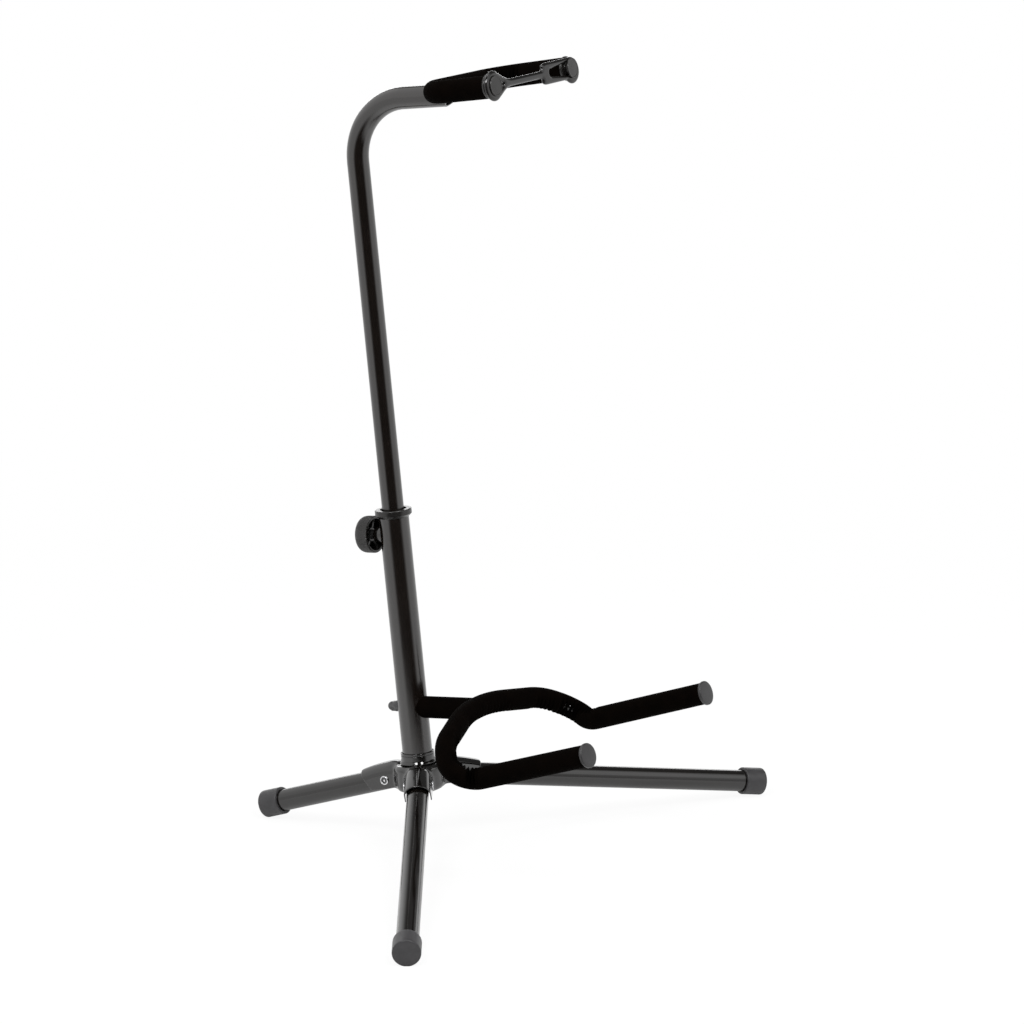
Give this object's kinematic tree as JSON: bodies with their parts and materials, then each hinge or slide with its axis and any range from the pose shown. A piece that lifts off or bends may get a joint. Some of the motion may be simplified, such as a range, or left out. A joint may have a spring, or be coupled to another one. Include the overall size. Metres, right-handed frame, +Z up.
{
  "type": "guitar stand",
  "caption": "Folding tubular tripod stand with a padded lower cradle, a telescoping upright and a padded neck yoke closed by a rubber strap.",
  "frame": {"origin": "centre of the stand's footprint box, on the floor plane that the feet rest on", "axes": "+Z up, -Y forward, the way the cradle and yoke reach, +X across to the right seen from the front"},
  "size_m": [0.5946, 0.3982, 0.6921],
  "materials": {
    "gloss_black_steel": "gloss black enamel",
    "black_tube": "satin black powder coat",
    "rod_steel": "black, hidden under foam",
    "foam": "matte black closed-cell foam",
    "black_plastic": "moulded black plastic",
    "grey_cap": "matte dark grey plastic",
    "foot_rubber": "moulded black rubber",
    "strap_rubber": "glossy black rubber",
    "pad_plastic": "natural nylon",
    "rivet_steel": "black with bright rolled edge",
    "fastener_steel": "black zinc"
  },
  "bodies": {
    "base": {"hub": "gloss_black_steel", "hub_plug": "black_plastic", "lower_tube": "black_tube", "tube_collar": "black_plastic", "clamp_boss": "gloss_black_steel", "leg_rivets": "rivet_steel", "cradle_stem": "rod_steel", "cradle_rod": "rod_steel", "cradle_foam": "foam", "stem_foam": "foam", "left_cradle_cap": "grey_cap", "right_cradle_cap": "grey_cap", "cradle_stud": "fastener_steel", "cradle_washer": "fastener_steel", "cradle_nut": "fastener_steel"},
    "glide": {"glide_bush": "black_plastic"},
    "upper": {"upper_tube": "black_tube", "yoke_rod": "rod_steel", "yoke_foam": "foam", "left_yoke_cap": "black_plastic", "right_yoke_cap": "black_plastic", "neck_strap": "strap_rubber"},
    "pad": {"clamp_pad": "pad_plastic"},
    "knob": {"clamp_knob": "black_plastic", "clamp_screw": "fastener_steel"},
    "rear_leg": {"rear_leg_tube": "black_tube", "rear_foot": "foot_rubber"},
    "left_leg": {"left_leg_tube": "black_tube", "left_foot": "foot_rubber"},
    "right_leg": {"right_leg_tube": "black_tube", "right_foot": "foot_rubber"}
  },
  "joints": [
    {"name": "height_slide", "type": "slide", "parent": "base", "child": "glide", "axis": [0, 0.1115, 0.9938], "range_m": [-0.085, 0.04]},
    {"name": "yoke_turn", "type": "hinge", "parent": "glide", "child": "upper", "pos_m": [0, 0.05079, 0.21356], "axis": [0, 0.1115, 0.9938], "continuous": true},
    {"name": "clamp_travel", "type": "slide", "parent": "base", "child": "pad", "axis": [0, 0.9938, -0.1115], "range_m": [0, 0.0025]},
    {"name": "knob_turn", "type": "hinge", "parent": "pad", "child": "knob", "pos_m": [0, 0.09054, 0.26928], "axis": [0, 0.9938, -0.1115], "range_deg": [0, 720]},
    {"name": "rear_leg_fold", "type": "hinge", "parent": "base", "child": "rear_leg", "pos_m": [0, 0.06259, 0.05587], "axis": [-1, 0, 0], "range_deg": [0, 77.7]},
    {"name": "left_leg_fold", "type": "hinge", "parent": "base", "child": "left_leg", "pos_m": [-0.02538, 0.0189, 0.06077], "axis": [0.5, -0.8606, 0.0965], "range_deg": [0, 77.7]},
    {"name": "right_leg_fold", "type": "hinge", "parent": "base", "child": "right_leg", "pos_m": [0.02538, 0.0189, 0.06077], "axis": [0.5, 0.8606, -0.0965], "range_deg": [0, 77.7]}
  ],
  "couplings": [
    {"joint": "clamp_travel", "follows": "knob_turn", "m_per_rad": 0.00019894}
  ]
}
